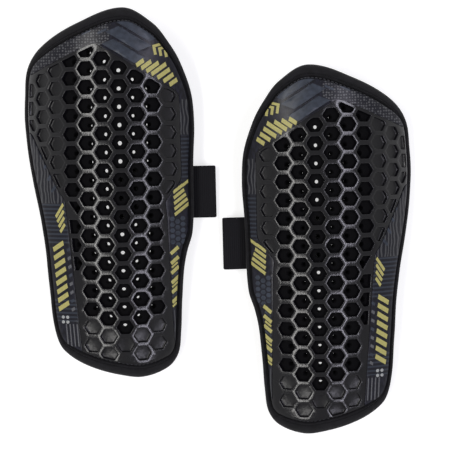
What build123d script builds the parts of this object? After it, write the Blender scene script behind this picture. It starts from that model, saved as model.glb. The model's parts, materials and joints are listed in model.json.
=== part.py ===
"""Pair of shin guards with honeycomb shells, padded rims and elastic calf straps.

Dimensions are in mm. Each guard is made in its own frame: +X is the inner side of the leg,
+Y is the knee end and +Z points away from the shin. The crest of the foam's outer face passes
through that frame's origin. The finished guards lie side by side on the plane z = 0.
"""

import os
from math import asin, atan, cos, degrees, hypot, radians, sin, sqrt, tan

from build123d import *

# Leg form that every layer follows: foam's outer face
CROSS_RADIUS = 66.0
LENGTH_RADIUS = 800.0

# Heights of the layers above the foam's outer face
LINING_BACK = -5.6
FOAM_BACK = -5.0
FLOOR_TOP = 1.1
SHELL_TOP = 3.2
PRINT_TOP = 3.7
RIM_TOP = 2.2

# Margins from the rim's outer edge, seen from above: at the sides and at the ends
RIM_SIDE = 3.4
RIM_END = 7.3
GROOVE = 0.8
STITCH_HEIGHT = 0.5

# Honeycomb
CELL_PITCH = 10.5
CELL_WIDTH = 8.0
COLUMN_START = 5.5
ROW_START = -0.9
CELL_EDGE_MARGIN = 0.9

# Elastic strap
STRAP_WIDTH = 30.0
STRAP_THICK = 1.2
STRAP_REACH = 11.5
STRAP_SEWN_ANGLE = 17.0
STRAP_BEND = 1.6
STRAP_MIDDLE_INNER = 2.0
STRAP_END_LENGTH = 28.5
RAMP_LENGTH = 7.0
HOOK_THICK = 1.2
HOOK_LENGTH = 22.0
CLEARANCE = 0.3
FOLD_RADIUS = 1.3
LOOP_SIZE = (22.0, 26.0)
LOOP_THICK = 1.0

# Lie of the pair: the inner side is propped up by the folded strap. Then each strap's centre
# along its guard, the turn of each guard about +Z and the offset of the right guard.
ROLL = -1.5
PROP = 1.5
LEFT_STRAP_Y = 0.5
RIGHT_STRAP_Y = 5.0
LEFT_TURN = 1.3
RIGHT_TURN = 1.5
RIGHT_OFFSET = (122.2, -31.9)

# Rim's outer edge seen from above, from the knee end down the outer side and back up
EDGE = [
    (8.5, 107.2), (-18.3, 99.2), (-40.1, 87.0), (-49.4, 75.0), (-51.9, 57.0), (-52.0, 39.0),
    (-49.0, 15.0), (-44.2, -9.0), (-41.4, -27.0), (-39.5, -51.0), (-37.3, -75.0), (-33.4, -87.0),
    (-26.0, -93.6), (-13.8, -99.2), (2.0, -103.4), (15.5, -104.9), (30.0, -100.0), (36.0, -92.0),
    (37.8, -79.0), (39.0, -60.0), (40.4, -44.0), (42.5, -33.0), (45.6, -23.0), (46.6, -9.0),
    (46.9, 15.0), (48.0, 39.0), (46.8, 57.0), (41.2, 75.0), (34.7, 87.0), (25.3, 98.6),
]

# Honeycomb's boundary against the two printed panels, seen from above
WINDOW = [
    (-7.7, 86.7), (38.1, 57.8), (38.5, 8.7), (29.2, -3.5), (29.9, -9.0), (32.3, -84.8),
    (33.6, -115.0), (-16.5, -115.0), (-19.2, -85.4), (-24.0, -26.1), (-26.2, -1.7),
    (-30.0, 3.7), (-45.9, 37.1), (-64.0, 43.0), (-64.0, 63.0), (-44.6, 69.9),
]


def form_point(x, y, height):
    """Point on the layer at a height, from its position seen from above on the rim's top."""
    angle = asin(x / (CROSS_RADIUS + RIM_TOP))
    depth = LENGTH_RADIUS - CROSS_RADIUS + (CROSS_RADIUS + height) * cos(angle)
    return (CROSS_RADIUS + height) * sin(angle), y, sqrt(depth**2 - y**2) - LENGTH_RADIUS


def rolled_feet():
    """Lower corners of the rim's edge, with the inner side propped up by the strap."""
    roll = radians(ROLL)
    feet = [form_point(x, y, LINING_BACK) for x, y in EDGE]
    return [(y, z * cos(roll) - x * sin(roll)) for x, y, z in feet]


def rest_height(foot, pitch):
    """Height of a foot once the guard is pitched."""
    return foot[0] * sin(pitch) + foot[1] * cos(pitch)


def rest_pitch():
    """Angle that sets the knee end and the ankle end down together, in radians."""
    pitch = 0.0
    for _ in range(8):
        knee = min((f for f in rolled_feet() if f[0] > 0), key=lambda f: rest_height(f, pitch))
        ankle = min((f for f in rolled_feet() if f[0] <= 0), key=lambda f: rest_height(f, pitch))
        pitch = -atan((knee[1] - ankle[1]) / (knee[0] - ankle[0]))
    return pitch


PITCH = rest_pitch()
REST_DROP = min(rest_height(foot, PITCH) for foot in rolled_feet())


def layer(low, high):
    """Slab of the leg form between two heights."""
    span = 62.0
    reach = 9.0
    with BuildSketch(Plane.XZ) as profile:
        with BuildLine():
            outer = CenterArc((0, -CROSS_RADIUS), CROSS_RADIUS + high, 90 - span, 2 * span)
            inner = CenterArc((0, -CROSS_RADIUS), CROSS_RADIUS + low, 90 - span, 2 * span)
            Line(outer @ 0, inner @ 0)
            Line(outer @ 1, inner @ 1)
        make_face()
    axis = Axis((0, 0, -LENGTH_RADIUS), (1, 0, 0))
    slab = revolve(profile.sketch, axis, 2 * reach)
    slab = slab.rotate(axis, -reach)
    return slab if abs(slab.bounding_box().center().Y) < 1 else slab.rotate(axis, 2 * reach)


def inset(points, side, end):
    """Move each point of a closed run inwards, by different amounts at the sides and ends."""
    moved = []
    for i, (x, y) in enumerate(points):
        before = points[i - 1]
        after = points[(i + 1) % len(points)]
        dx = after[0] - before[0]
        dy = after[1] - before[1]
        size = hypot(dx, dy)
        moved.append((x - side * dy / size, y + end * dx / size))
    return moved


def edge_wire(points, height):
    """Smooth closed run through the points, spread so that cuts meet the leg form squarely."""
    centre_radius = LENGTH_RADIUS - CROSS_RADIUS

    def lift(x, y):
        drop = centre_radius - sqrt(centre_radius**2 - y**2)
        slope = tan(asin(x / (CROSS_RADIUS + RIM_TOP)))
        return Vector(slope * (height + CROSS_RADIUS + drop), y, height)

    def handle(a, b, size):
        gap = hypot(b[0] - a[0], b[1] - a[1])
        return (b[0] - a[0]) / gap * size / 3, (b[1] - a[1]) / gap * size / 3

    edges = []
    count = len(points)
    for i in range(count):
        before, start, end, after = (points[(i + k) % count] for k in (-1, 0, 1, 2))
        size = hypot(end[0] - start[0], end[1] - start[1])
        leave = handle(before, end, size)
        arrive = handle(start, after, size)
        edges.append(
            Edge.make_bezier(
                lift(*start),
                lift(start[0] + leave[0], start[1] + leave[1]),
                lift(end[0] - arrive[0], end[1] - arrive[1]),
                lift(*end),
            )
        )
    return Wire(edges)


def edge_cutter(side, end):
    """Solid inside the rim's edge moved inwards, with its sides square to the leg form."""
    points = inset(EDGE, side, end)
    sections = [edge_wire(points, height) for height in (22.0 - CROSS_RADIUS, 12.0)]
    return Solid.make_loft(sections, ruled=True)


def prism(points, bottom=-60.0, top=20.0):
    """Upright prism on a closed run of points."""
    return extrude(Pos(0, 0, bottom) * make_face(Polyline(*points, close=True)), top - bottom)


def inside(point, points):
    """Whether a point lies inside a closed run of points."""
    x, y = point
    found = False
    for i, (x0, y0) in enumerate(points):
        x1, y1 = points[i - 1]
        if (y0 > y) != (y1 > y) and x < (x1 - x0) * (y - y0) / (y1 - y0) + x0:
            found = not found
    return found


def edge_distance(point, points):
    """Distance from a point to a closed run of points."""
    x, y = point
    nearest = 1e9
    for i, (x0, y0) in enumerate(points):
        x1, y1 = points[i - 1]
        size = (x1 - x0) ** 2 + (y1 - y0) ** 2
        along = max(0.0, min(1.0, ((x - x0) * (x1 - x0) + (y - y0) * (y1 - y0)) / size))
        nearest = min(nearest, hypot(x - x0 - along * (x1 - x0), y - y0 - along * (y1 - y0)))
    return nearest


def cells():
    """Every honeycomb cell: arc lengths from the crest and the middle, and whether it is open."""
    found = []
    bottoms = {2: -65, 1: -70, 0: -77, -1: -72, -2: -66, -3: -60}
    for column in range(-6, 4):
        across = COLUMN_START + column * CELL_PITCH * cos(radians(30))
        shift = CELL_PITCH / 2 if column % 2 else 0.0
        for row in range(-9, 9):
            along = ROW_START + row * CELL_PITCH + shift
            angle = across / CROSS_RADIUS
            x = (CROSS_RADIUS + SHELL_TOP) * sin(angle)
            depth = LENGTH_RADIUS - CROSS_RADIUS + (CROSS_RADIUS + SHELL_TOP) * cos(angle)
            y = depth * sin(along / LENGTH_RADIUS)
            rim = inset(EDGE, RIM_SIDE + GROOVE, RIM_END + GROOVE)
            half = CELL_WIDTH / 2 * cos(angle)
            if not inside((x, y), WINDOW) or not inside((x, y), rim):
                continue
            if edge_distance((x, y), rim) < half * 0.25:
                continue
            if edge_distance((x, y), WINDOW) < half * 0.25:
                continue
            open_cell = column in bottoms and y > bottoms[column]
            found.append((across, along, open_cell))
    return found


def cell_cutter(across, along, open_cell):
    """Six-sided cutter square to the shell, with flats towards the knee and the ankle."""
    angle = across / CROSS_RADIUS
    depth = LENGTH_RADIUS - CROSS_RADIUS + CROSS_RADIUS * cos(angle)
    foot = Location((0, 0, 0), (0, degrees(angle), 0))
    low = -0.6 if open_cell else FLOOR_TOP
    tool = extrude(RegularPolygon(CELL_WIDTH / 2, 6, major_radius=False), SHELL_TOP + 1.5 - low)
    tool = Pos(0, 0, low) * tool
    turn = Location((0, 0, -LENGTH_RADIUS), (-degrees(along / LENGTH_RADIUS), 0, 0))
    tool = Pos(CROSS_RADIUS * sin(angle), 0, depth) * foot * tool
    return turn * tool


def honeycomb_shell():
    """Moulded plate whose cells stop at the printed panels and at the rim."""
    plate = layer(0.0, SHELL_TOP) & edge_cutter(RIM_SIDE + GROOVE, RIM_END + GROOVE)
    margin = GROOVE + CELL_EDGE_MARGIN
    field = edge_cutter(RIM_SIDE + margin, RIM_END + margin) & prism(WINDOW)
    rim = inset(EDGE, RIM_SIDE + margin, RIM_END + margin)
    tools = []
    for across, along, open_cell in cells():
        angle = across / CROSS_RADIUS
        spot = ((CROSS_RADIUS + SHELL_TOP) * sin(angle), along)
        tool = cell_cutter(across, along, open_cell)
        if min(edge_distance(spot, WINDOW), edge_distance(spot, rim)) < CELL_WIDTH * 0.7:
            tool = tool & field
        tools.append(tool)
    return plate - tools


def printed_panels():
    """Thin printed films on the shell: the knee and inner side, then the outer side."""
    film = layer(SHELL_TOP, PRINT_TOP) & edge_cutter(
        RIM_SIDE + GROOVE + 0.5, RIM_END + GROOVE + 0.5
    )
    film = film - prism(WINDOW)
    pieces = sorted(film.solids(), key=lambda s: s.volume, reverse=True)[:2]
    return sorted(pieces, key=lambda s: s.center().X, reverse=True)


def rim_roll():
    """Padded rim round the guard's whole edge."""
    roll = layer(LINING_BACK, RIM_TOP) & edge_cutter(0.0, 0.0)
    roll = roll - edge_cutter(RIM_SIDE, RIM_END)
    return roll


def inner_edge(y):
    """Rim's inner-side edge at a distance along the guard, seen from above."""
    run = [p for p in EDGE if p[0] > 20.0]
    for (x0, y0), (x1, y1) in zip(run, run[1:]):
        if y0 <= y <= y1:
            return x0 + (x1 - x0) * (y - y0) / (y1 - y0)
    raise ValueError("the strap lies outside the guard's inner side")


def strap_marks(strap_y):
    """Radii, angles and heights of the strap's path, in the guard's frame."""
    ends = (strap_y - STRAP_WIDTH / 2, strap_y + STRAP_WIDTH / 2)
    edge_x = max(inner_edge(y) for y in (*ends, strap_y))
    half = STRAP_THICK / 2
    back = CROSS_RADIUS + LINING_BACK
    angle = asin(edge_x / (CROSS_RADIUS + RIM_TOP)) + CLEARANCE / 2 / back
    sag = LENGTH_RADIUS - sqrt(LENGTH_RADIUS**2 - max(abs(y) for y in ends) ** 2)
    ground = (REST_DROP - PROP) / cos(PITCH) + max(abs(y) for y in ends) * abs(tan(PITCH))
    return {
        "centre_z": -CROSS_RADIUS - sag,
        "bend": angle,
        "lining": back - half - CLEARANCE / 2,
        "corner_x": back * sin(angle),
        "low_z": ground + CLEARANCE / 2 + half,
        "fold_x": edge_x + STRAP_REACH - FOLD_RADIUS - half,
    }


def box_between(x0, x1, y0, y1, z0, z1):
    """Box between two corners."""
    return Pos((x0 + x1) / 2, (y0 + y1) / 2, (z0 + z1) / 2) * Box(
        abs(x1 - x0), abs(y1 - y0), abs(z1 - z0)
    )


def band(points, strap_y, width):
    """Upright slab of one strap width on a closed outline in the XZ plane."""
    face = make_face(points)
    solid = extrude(face, width)
    centre = solid.bounding_box().center()
    return solid.moved(Location((0, strap_y - centre.Y, 0)))


def ring_section(cx, cz, radius, thick, start, sweep):
    """Closed outline of a bent strip in the XZ plane."""
    with BuildLine(Plane.XZ) as outline:
        outer = CenterArc((cx, cz), radius + thick / 2, start, sweep)
        inner = CenterArc((cx, cz), radius - thick / 2, start, sweep)
        Line(outer @ 0, inner @ 0)
        Line(outer @ 1, inner @ 1)
    return outline.line


def straight_section(x0, z0, x1, z1, thick):
    """Closed outline of a straight strip in the XZ plane between two middle points."""
    size = hypot(x1 - x0, z1 - z0)
    nx = -(z1 - z0) / size * thick / 2
    nz = (x1 - x0) / size * thick / 2
    with BuildLine(Plane.XZ) as outline:
        Polyline(
            (x0 + nx, z0 + nz), (x1 + nx, z1 + nz), (x1 - nx, z1 - nz), (x0 - nx, z0 - nz), close=True
        )
    return outline.line


def strap_sewn_end(strap_y):
    """Strap from the lining round the rim's underside to the visible fold."""
    m = strap_marks(strap_y)
    cz = m["centre_z"]
    start = 90 - degrees(m["bend"])
    lay = ring_section(0, cz, m["lining"], STRAP_THICK, start, degrees(m["bend"]) - STRAP_SEWN_ANGLE)
    bend_radius = STRAP_BEND
    bx = (m["lining"] + bend_radius) * sin(m["bend"])
    bz = cz + (m["lining"] + bend_radius) * cos(m["bend"])
    fold_x = m["fold_x"]
    fold_z = m["low_z"] + FOLD_RADIUS
    # The run between the bend and the fold is tangent to both
    gap = hypot(fold_x - bx, fold_z - bz)
    lean = atan((fold_z - bz) / (fold_x - bx)) + asin((bend_radius + FOLD_RADIUS) / gap)
    bend = ring_section(
        bx, bz, bend_radius, STRAP_THICK, 270 - degrees(m["bend"]), degrees(m["bend"]) + degrees(lean)
    )
    run = straight_section(
        bx + bend_radius * sin(lean),
        bz - bend_radius * cos(lean),
        fold_x - FOLD_RADIUS * sin(lean),
        fold_z + FOLD_RADIUS * cos(lean),
        STRAP_THICK,
    )
    fold = ring_section(fold_x, fold_z, FOLD_RADIUS, STRAP_THICK, -90, 180 + degrees(lean))
    pieces = [band(s, strap_y, STRAP_WIDTH) for s in (lay, bend, run, fold)]
    return pieces[0] + pieces[1] + pieces[2] + pieces[3]


def middle_levels(strap_y):
    """Heights and folds of the strap's middle run."""
    m = strap_marks(strap_y)
    low = m["low_z"]
    high = low + STRAP_THICK + CLEARANCE + HOOK_THICK
    return m["fold_x"], low, high


def strap_middle(strap_y):
    """Strap from the visible fold under the rim to the inner fold, with that fold."""
    fold_x, low, high = middle_levels(strap_y)
    inner_radius = (high - low) / 2
    ramp_out = strap_marks(strap_y)["corner_x"] - 1.0
    ramp_in = ramp_out - RAMP_LENGTH
    half = STRAP_THICK / 2
    slope = atan((high - low) / (ramp_out - ramp_in))
    lift = half * tan(slope / 2)
    with BuildLine(Plane.XZ) as outline:
        Polyline(
            (fold_x - CLEARANCE, low + half), (ramp_out + lift, low + half),
            (ramp_in + lift, high + half), (STRAP_MIDDLE_INNER, high + half),
            (STRAP_MIDDLE_INNER, high - half), (ramp_in - lift, high - half),
            (ramp_out - lift, low - half), (fold_x - CLEARANCE, low - half), close=True,
        )
    run = band(outline.line, strap_y, STRAP_WIDTH)
    turn = ring_section(STRAP_MIDDLE_INNER, low + inner_radius, inner_radius, STRAP_THICK, 90, 180)
    return run + band(turn, strap_y, STRAP_WIDTH)


def strap_end(strap_y):
    """Free end of the strap, folded back under its middle run."""
    _, low, _ = middle_levels(strap_y)
    start = STRAP_MIDDLE_INNER + CLEARANCE
    half = STRAP_THICK / 2
    flat = box_between(
        start, start + STRAP_END_LENGTH, strap_y - STRAP_WIDTH / 2, strap_y + STRAP_WIDTH / 2,
        low - half, low + half,
    )
    tips = [e for e in flat.edges().filter_by(Axis.Z) if e.center().X > start + 1]
    return fillet(tips, 4.0)


def hook_patch(strap_y):
    """Hook tape on the free end's upper face."""
    _, low, _ = middle_levels(strap_y)
    tip = STRAP_MIDDLE_INNER + CLEARANCE + STRAP_END_LENGTH - 1.5
    half = STRAP_THICK / 2
    flat = box_between(
        tip - HOOK_LENGTH, tip, strap_y - STRAP_WIDTH / 2 + 1.5, strap_y + STRAP_WIDTH / 2 - 1.5,
        low + half, low + half + HOOK_THICK,
    )
    tips = [e for e in flat.edges().filter_by(Axis.Z) if e.center().X > tip - 1]
    return fillet(tips, 3.0)


def loop_patch(strap_y):
    """Loop tape on the lining near the outer side, where the strap's end is pressed on."""
    m = strap_marks(strap_y)
    long, wide = LOOP_SIZE
    cutter = prism([
        (-40.0, strap_y - wide / 2), (-40.0 + long, strap_y - wide / 2),
        (-40.0 + long, strap_y + wide / 2), (-40.0, strap_y + wide / 2),
    ])
    return layer(LINING_BACK - LOOP_THICK, LINING_BACK) & cutter


def guard(strap_y, shared):
    """All the pieces of one guard in its own frame."""
    pieces = dict(shared)
    pieces["strap_sewn_end"] = strap_sewn_end(strap_y)
    pieces["strap_middle"] = strap_middle(strap_y)
    pieces["strap_end"] = strap_end(strap_y)
    pieces["hook_patch"] = hook_patch(strap_y)
    pieces["loop_patch"] = loop_patch(strap_y)
    return pieces


def shared_pieces():
    """Pieces that are alike in both guards."""
    rim_inner = edge_cutter(RIM_SIDE, RIM_END)
    shell_edge = edge_cutter(RIM_SIDE + GROOVE, RIM_END + GROOVE)
    upper, outer = printed_panels()
    return {
        "honeycomb_shell": honeycomb_shell(),
        "knee_print_panel": upper,
        "outer_print_panel": outer,
        "foam_backing": layer(FOAM_BACK, 0.0) & rim_inner,
        "lining": layer(LINING_BACK, FOAM_BACK) & rim_inner,
        "padded_rim": rim_roll(),
        "rim_stitching": (layer(0.0, STITCH_HEIGHT) & rim_inner) - shell_edge,
    }


def lay_down(piece, side):
    """Bring a piece from its guard's frame to the pair's frame."""
    piece = piece.rotate(Axis.Y, ROLL).rotate(Axis.X, degrees(PITCH))
    piece = piece.moved(Location((0, 0, PROP - REST_DROP)))
    if side == "left":
        return piece.rotate(Axis.Z, LEFT_TURN)
    piece = mirror(piece, Plane.YZ).rotate(Axis.Z, RIGHT_TURN)
    return piece.moved(Location((RIGHT_OFFSET[0], RIGHT_OFFSET[1], 0)))


def pair():
    """Both guards, with the middle of the pair's outline over the origin."""
    shared = shared_pieces()
    placed = {}
    for side, strap_y in (("left", LEFT_STRAP_Y), ("right", RIGHT_STRAP_Y)):
        for name, piece in guard(strap_y, shared).items():
            placed[f"{side}_{name}"] = lay_down(piece, side)
    boxes = [piece.bounding_box() for piece in placed.values()]
    middle_x = (min(b.min.X for b in boxes) + max(b.max.X for b in boxes)) / 2
    middle_y = (min(b.min.Y for b in boxes) + max(b.max.Y for b in boxes)) / 2
    bottom = min(b.min.Z for b in boxes)
    shift = Location((-middle_x, -middle_y, -bottom))
    return {name: piece.moved(shift) for name, piece in placed.items()}, shift


def main():
    """Write one STEP file for each piece."""
    os.makedirs("parts", exist_ok=True)
    pieces, _ = pair()
    for name, piece in pieces.items():
        export_step(piece, f"parts/{name}.step")


if __name__ == "__main__":
    main()
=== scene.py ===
"""A pair of shin guards with honeycomb shells, printed panels, padded rims and elastic straps."""
import json
from math import asin, atan, cos, degrees, hypot, pi, radians, sin, sqrt, tan

import bpy
import numpy as np
from bpy.props import FloatProperty, FloatVectorProperty, PointerProperty
from mathutils import Matrix, Vector
from mathutils.geometry import delaunay_2d_cdt

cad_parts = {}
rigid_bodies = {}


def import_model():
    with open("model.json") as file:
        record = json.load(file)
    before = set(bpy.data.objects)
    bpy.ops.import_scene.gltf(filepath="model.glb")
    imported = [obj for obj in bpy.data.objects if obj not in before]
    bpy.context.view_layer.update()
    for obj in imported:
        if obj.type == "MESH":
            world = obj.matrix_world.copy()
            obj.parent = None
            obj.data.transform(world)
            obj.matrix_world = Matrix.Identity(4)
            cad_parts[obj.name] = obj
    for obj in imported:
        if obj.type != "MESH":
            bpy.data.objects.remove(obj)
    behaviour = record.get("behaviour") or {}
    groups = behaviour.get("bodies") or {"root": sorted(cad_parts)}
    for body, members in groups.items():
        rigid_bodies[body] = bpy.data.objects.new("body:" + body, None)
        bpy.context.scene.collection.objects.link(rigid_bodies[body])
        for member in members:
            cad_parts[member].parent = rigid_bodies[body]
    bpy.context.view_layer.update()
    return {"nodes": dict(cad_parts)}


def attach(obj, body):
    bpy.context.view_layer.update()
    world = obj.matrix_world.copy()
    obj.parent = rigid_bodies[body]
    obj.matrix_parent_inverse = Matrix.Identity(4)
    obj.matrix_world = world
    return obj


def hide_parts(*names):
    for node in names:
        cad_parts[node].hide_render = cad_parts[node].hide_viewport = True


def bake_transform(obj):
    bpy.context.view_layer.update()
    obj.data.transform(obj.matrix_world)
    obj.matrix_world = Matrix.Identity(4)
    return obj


bl_info = {
    "name": "Shin Guard Pair",
    "version": (1, 0, 0),
    "blender": (4, 5, 0),
    "location": "View3D > Sidebar > Shin Guards",
    "description": "Builds a pair of honeycomb shin guards on their CAD frame",
    "category": "Add Mesh",
}

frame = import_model()

# Leg form, in mm: the same arcs as the frame's layers
CROSS_RADIUS = 66.0
LENGTH_RADIUS = 800.0
RIM_TOP = 2.2
SHELL_TOP = 3.2
CELL_FLOOR = 1.1
FILM_TOP = 3.7
FOAM_BACK = -5.0
LINING_BACK = -5.6

# Margins from the rim's outer edge at the sides and at the ends
RIM_SIDE = 3.4
RIM_END = 7.3
GROOVE = 0.8

# Honeycomb
CELL_PITCH = 10.5
CELL_WIDTH = 8.0
COLUMN_START = 5.5
ROW_START = -0.9
CELL_EDGE_MARGIN = 0.9
CELL_STRETCH = 1.05
CELL_CORNER = 0.5
CELL_DRAFT = 0.15
FLOOR_FILLET = 0.35
NARROW_LIFT = 1.3
LEAST_CELL = 6.0
# Columns with open cells, each with the plan height above which its cells are open
OPEN_ABOVE = {2: -65, 1: -70, 0: -77, -1: -72, -2: -66, -3: -60}
# Rings down the plate's edge and down a cell's lip: distance inwards and height
PLATE_EDGE = (
    (0.75, SHELL_TOP), (0.35, SHELL_TOP - 0.12), (0.08, SHELL_TOP - 0.5), (0.0, 1.4), (0.0, 0.0),
)
CELL_LIP = (
    (-0.2, SHELL_TOP), (-0.14, SHELL_TOP - 0.02), (0.0, SHELL_TOP - 0.14), (0.04, SHELL_TOP - 0.28),
)
PLATE, FLOOR, LIP = range(3)

# Perforations: the crest they drift towards, by shares across and along
CREST = 4.0
BORE_DRIFT = (0.07, 0.011)
LEAST_BORE = 0.2
RIGHT_CLOSING = 4.6

# Rim
RIM_STEP = 0.65
STITCH_PITCH = 2.6
PUCKER = 0.28
STITCH_LEVEL = 0.75

# Elastic strap
STRAP_WIDTH = 30.0
STRAP_THICK = 1.2
STRAP_REACH = 11.5
STRAP_BEND = 1.6
FOLD_RADIUS = 1.3
CLEARANCE = 0.3
HOOK_THICK = 1.2
STRAP_MIDDLE_INNER = 2.0
STRAP_END_LENGTH = 28.5
RAMP_LENGTH = 7.0
STRAP_SEWN_ANGLE = 17.0

# Lie of each guard on the floor
ROLL = -1.5
PROP = 1.5
STRAP_CENTRE = {"left": 0.5, "right": 5.0}
TURN = {"left": 1.3, "right": 1.5}
OFFSET = {"left": (0.0, 0.0), "right": (122.2, -31.9)}
SHIFT = (-59.9103, 14.25, -0.285)
SIDES = ("left", "right")
MERGE_GAP = 2e-6

# Stage, in metres: each lamp's place, size along and across the guards, and colour
KEY_LAMP = ((-0.52, -0.1, 1.1), (1.3, 0.2), (1.0, 0.985, 0.96))
SIDE_LAMP = ((0.53, -0.1, 1.12), (1.3, 0.13), (0.88, 0.86, 1.0))
FLOOR_GLOW = 0.62
SENSOR_WIDTH = 36.0
VIEW_WIDTH = 0.261
VIEW_CENTRE = (0.0042, -0.0017)
VIEW_LEVEL = 0.003

EDGE = [
    (8.5, 107.2), (-18.3, 99.2), (-40.1, 87.0), (-49.4, 75.0), (-51.9, 57.0), (-52.0, 39.0),
    (-49.0, 15.0), (-44.2, -9.0), (-41.4, -27.0), (-39.5, -51.0), (-37.3, -75.0), (-33.4, -87.0),
    (-26.0, -93.6), (-13.8, -99.2), (2.0, -103.4), (15.5, -104.9), (30.0, -100.0), (36.0, -92.0),
    (37.8, -79.0), (39.0, -60.0), (40.4, -44.0), (42.5, -33.0), (45.6, -23.0), (46.6, -9.0),
    (46.9, 15.0), (48.0, 39.0), (46.8, 57.0), (41.2, 75.0), (34.7, 87.0), (25.3, 98.6),
]
WINDOW = [
    (-7.7, 86.7), (38.1, 57.8), (38.5, 8.7), (29.2, -3.5), (29.9, -9.0), (32.3, -84.8),
    (33.6, -115.0), (-16.5, -115.0), (-19.2, -85.4), (-24.0, -26.1), (-26.2, -1.7),
    (-30.0, 3.7), (-45.9, 37.1), (-64.0, 43.0), (-64.0, 63.0), (-44.6, 69.9),
]


def feet():
    """Lower corners of the rim, with the inner side propped up by the folded strap."""
    roll = radians(ROLL)
    found = []
    for x, y in EDGE:
        angle = asin(x / (CROSS_RADIUS + RIM_TOP))
        depth = LENGTH_RADIUS - CROSS_RADIUS + (CROSS_RADIUS + LINING_BACK) * cos(angle)
        z = sqrt(depth**2 - y**2) - LENGTH_RADIUS
        found.append((y, z * cos(roll) - (CROSS_RADIUS + LINING_BACK) * sin(angle) * sin(roll)))
    return found


def foot_height(foot, pitch):
    """Height of a foot once the guard is pitched."""
    return foot[0] * sin(pitch) + foot[1] * cos(pitch)


def rest_pitch():
    """Angle that sets both ends of the guard down, in radians."""
    pitch = 0.0
    for _ in range(8):
        knee = min((f for f in feet() if f[0] > 0), key=lambda f: foot_height(f, pitch))
        ankle = min((f for f in feet() if f[0] <= 0), key=lambda f: foot_height(f, pitch))
        pitch = -atan((knee[1] - ankle[1]) / (knee[0] - ankle[0]))
    return pitch


PITCH = rest_pitch()
REST_DROP = min(foot_height(foot, PITCH) for foot in feet())


def place_matrix(side):
    """Matrix from a guard's own frame in mm to the row frame in metres."""
    lie = Matrix.Rotation(PITCH, 4, "X") @ Matrix.Rotation(radians(ROLL), 4, "Y")
    lie = Matrix.Translation((0, 0, PROP - REST_DROP)) @ lie
    if side == "right":
        lie = Matrix.Scale(-1, 4, (1, 0, 0)) @ lie
    lie = Matrix.Rotation(radians(TURN[side]), 4, "Z") @ lie
    move = Vector((OFFSET[side][0] + SHIFT[0], OFFSET[side][1] + SHIFT[1], SHIFT[2]))
    return Matrix.Scale(0.001, 4) @ Matrix.Translation(move) @ lie


def wrap(x, y, height):
    """Points on the leg form from their plan position on the rim's top, as arrays in mm."""
    angle = np.arcsin(np.clip(x / (CROSS_RADIUS + RIM_TOP), -0.98, 0.98))
    arc = LENGTH_RADIUS - CROSS_RADIUS
    along = np.arcsin(y / (arc + (CROSS_RADIUS + RIM_TOP) * np.cos(angle)))
    depth = arc + (CROSS_RADIUS + height) * np.cos(angle)
    return np.stack([
        (CROSS_RADIUS + height) * np.sin(angle),
        depth * np.sin(along),
        depth * np.cos(along) - LENGTH_RADIUS,
    ], axis=-1)


def plan_point(across, along):
    """Plan position of a point given by arc lengths across and along the form."""
    angle = across / CROSS_RADIUS
    depth = LENGTH_RADIUS - CROSS_RADIUS + (CROSS_RADIUS + RIM_TOP) * cos(angle)
    return (CROSS_RADIUS + RIM_TOP) * sin(angle), depth * sin(along / LENGTH_RADIUS)


# Plan outlines


def smooth_run(points, step):
    """Closed smooth curve through points, sampled evenly about every step mm."""
    fine = []
    count = len(points)
    for i in range(count):
        before, start, end, after = (np.array(points[(i + k) % count]) for k in (-1, 0, 1, 2))
        size = np.linalg.norm(end - start)
        leave = (end - before) / np.linalg.norm(end - before) * size / 3
        arrive = (after - start) / np.linalg.norm(after - start) * size / 3
        for t in np.linspace(0, 1, 24, endpoint=False):
            a, b, c, d = (1 - t) ** 3, 3 * t * (1 - t) ** 2, 3 * t * t * (1 - t), t**3
            fine.append(a * start + b * (start + leave) + c * (end - arrive) + d * end)
    fine = np.array(fine)
    gaps = np.linalg.norm(np.roll(fine, -1, 0) - fine, axis=1)
    marks = np.concatenate([[0], np.cumsum(gaps)])
    closed = np.vstack([fine, fine[:1]])
    total = marks[-1]
    stops = np.arange(int(round(total / step))) * total / int(round(total / step))
    return np.stack([np.interp(stops, marks, closed[:, k]) for k in (0, 1)], axis=-1)


def directions(run):
    """Unit direction along a closed run at each of its points."""
    ahead = np.roll(run, -1, 0) - np.roll(run, 1, 0)
    return ahead / np.linalg.norm(ahead, axis=1)[:, None]


def inset(points, side, end):
    """A closed run moved inwards by its normals, by different amounts at the sides and ends."""
    points = np.asarray(points, float)
    ahead = directions(points)
    return points + np.stack([-side * ahead[:, 1], end * ahead[:, 0]], axis=-1)


def inside(points, loop):
    """Which points lie inside a closed run."""
    points = np.asarray(points, float)
    x, y = points[:, 0], points[:, 1]
    found = np.zeros(len(points), bool)
    x0, y0 = loop[-1]
    for x1, y1 in loop:
        if y0 != y1:
            cross = ((y1 > y) != (y0 > y)) & (x < (x0 - x1) * (y - y1) / (y0 - y1) + x1)
            found ^= cross
        x0, y0 = x1, y1
    return found


def edge_distance(point, loop):
    """Distance from a point to a closed run."""
    loop = np.asarray(loop, float)
    ahead = np.roll(loop, -1, 0) - loop
    away = np.asarray(point) - loop
    share = np.clip((away * ahead).sum(1) / np.maximum((ahead**2).sum(1), 1e-9), 0, 1)
    return float(np.linalg.norm(away - ahead * share[:, None], axis=1).min())


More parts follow.
